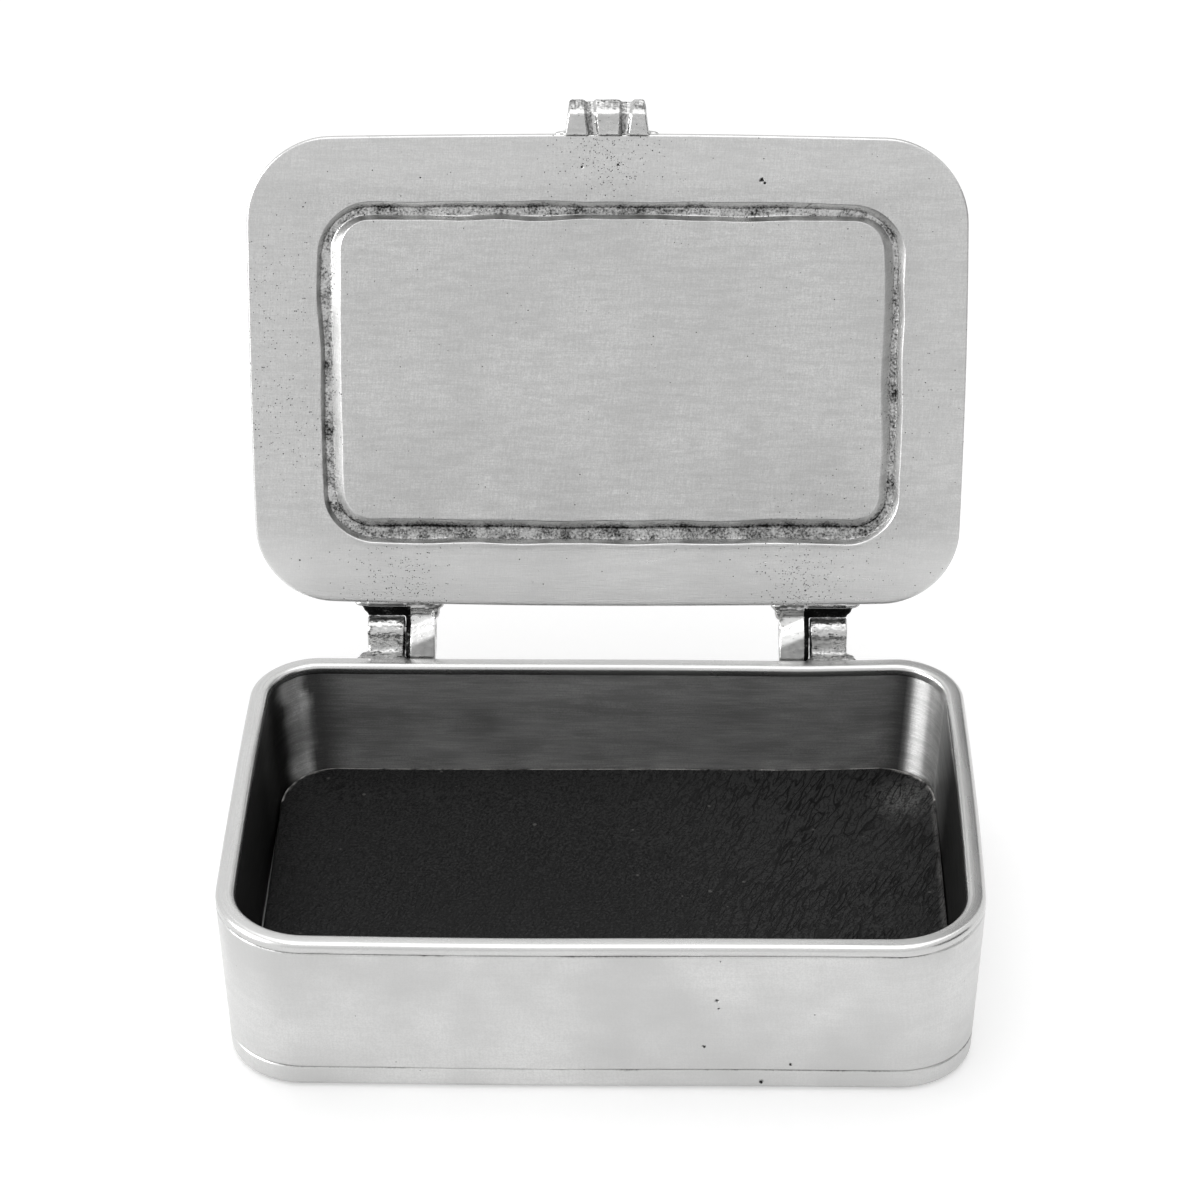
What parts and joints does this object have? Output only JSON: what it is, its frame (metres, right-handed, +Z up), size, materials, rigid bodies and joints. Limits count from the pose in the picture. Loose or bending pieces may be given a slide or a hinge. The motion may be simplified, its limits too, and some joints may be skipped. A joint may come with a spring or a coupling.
{
  "type": "hinged keepsake box",
  "caption": "Shallow rounded-rectangle pewter box with a soldered tray, a leather floor and a grooved lid on pinned hinges, shown open.",
  "frame": {"origin": "middle of the flat underside that the box stands on", "axes": "+Z up, +X to the right along the box's length, +Y towards the hinges at the back"},
  "size_m": [0.1, 0.0922, 0.0977],
  "materials": {
    "pewter_sheet": "satin",
    "pewter_cast": "satin",
    "pin_wire": "satin",
    "black_leather": "matte"
  },
  "bodies": {
    "tray": {"bottom_plate": "pewter_sheet", "wall_band": "pewter_sheet", "rim_moulding": "pewter_cast", "leather_floor": "black_leather", "tray_knuckle_left": "pewter_cast", "tray_knuckle_right": "pewter_cast", "hinge_pin_left": "pin_wire", "hinge_pin_right": "pin_wire"},
    "lid": {"lid_plate": "pewter_sheet", "thumb_tab": "pewter_cast", "lid_hinge_left": "pewter_cast", "lid_hinge_right": "pewter_cast"}
  },
  "joints": [
    {"name": "lid_swing", "type": "hinge", "parent": "tray", "child": "lid", "pos_m": [0, 0.0376, 0.0248], "axis": [1, 0, 0], "range_deg": [0, 105.5]}
  ]
}
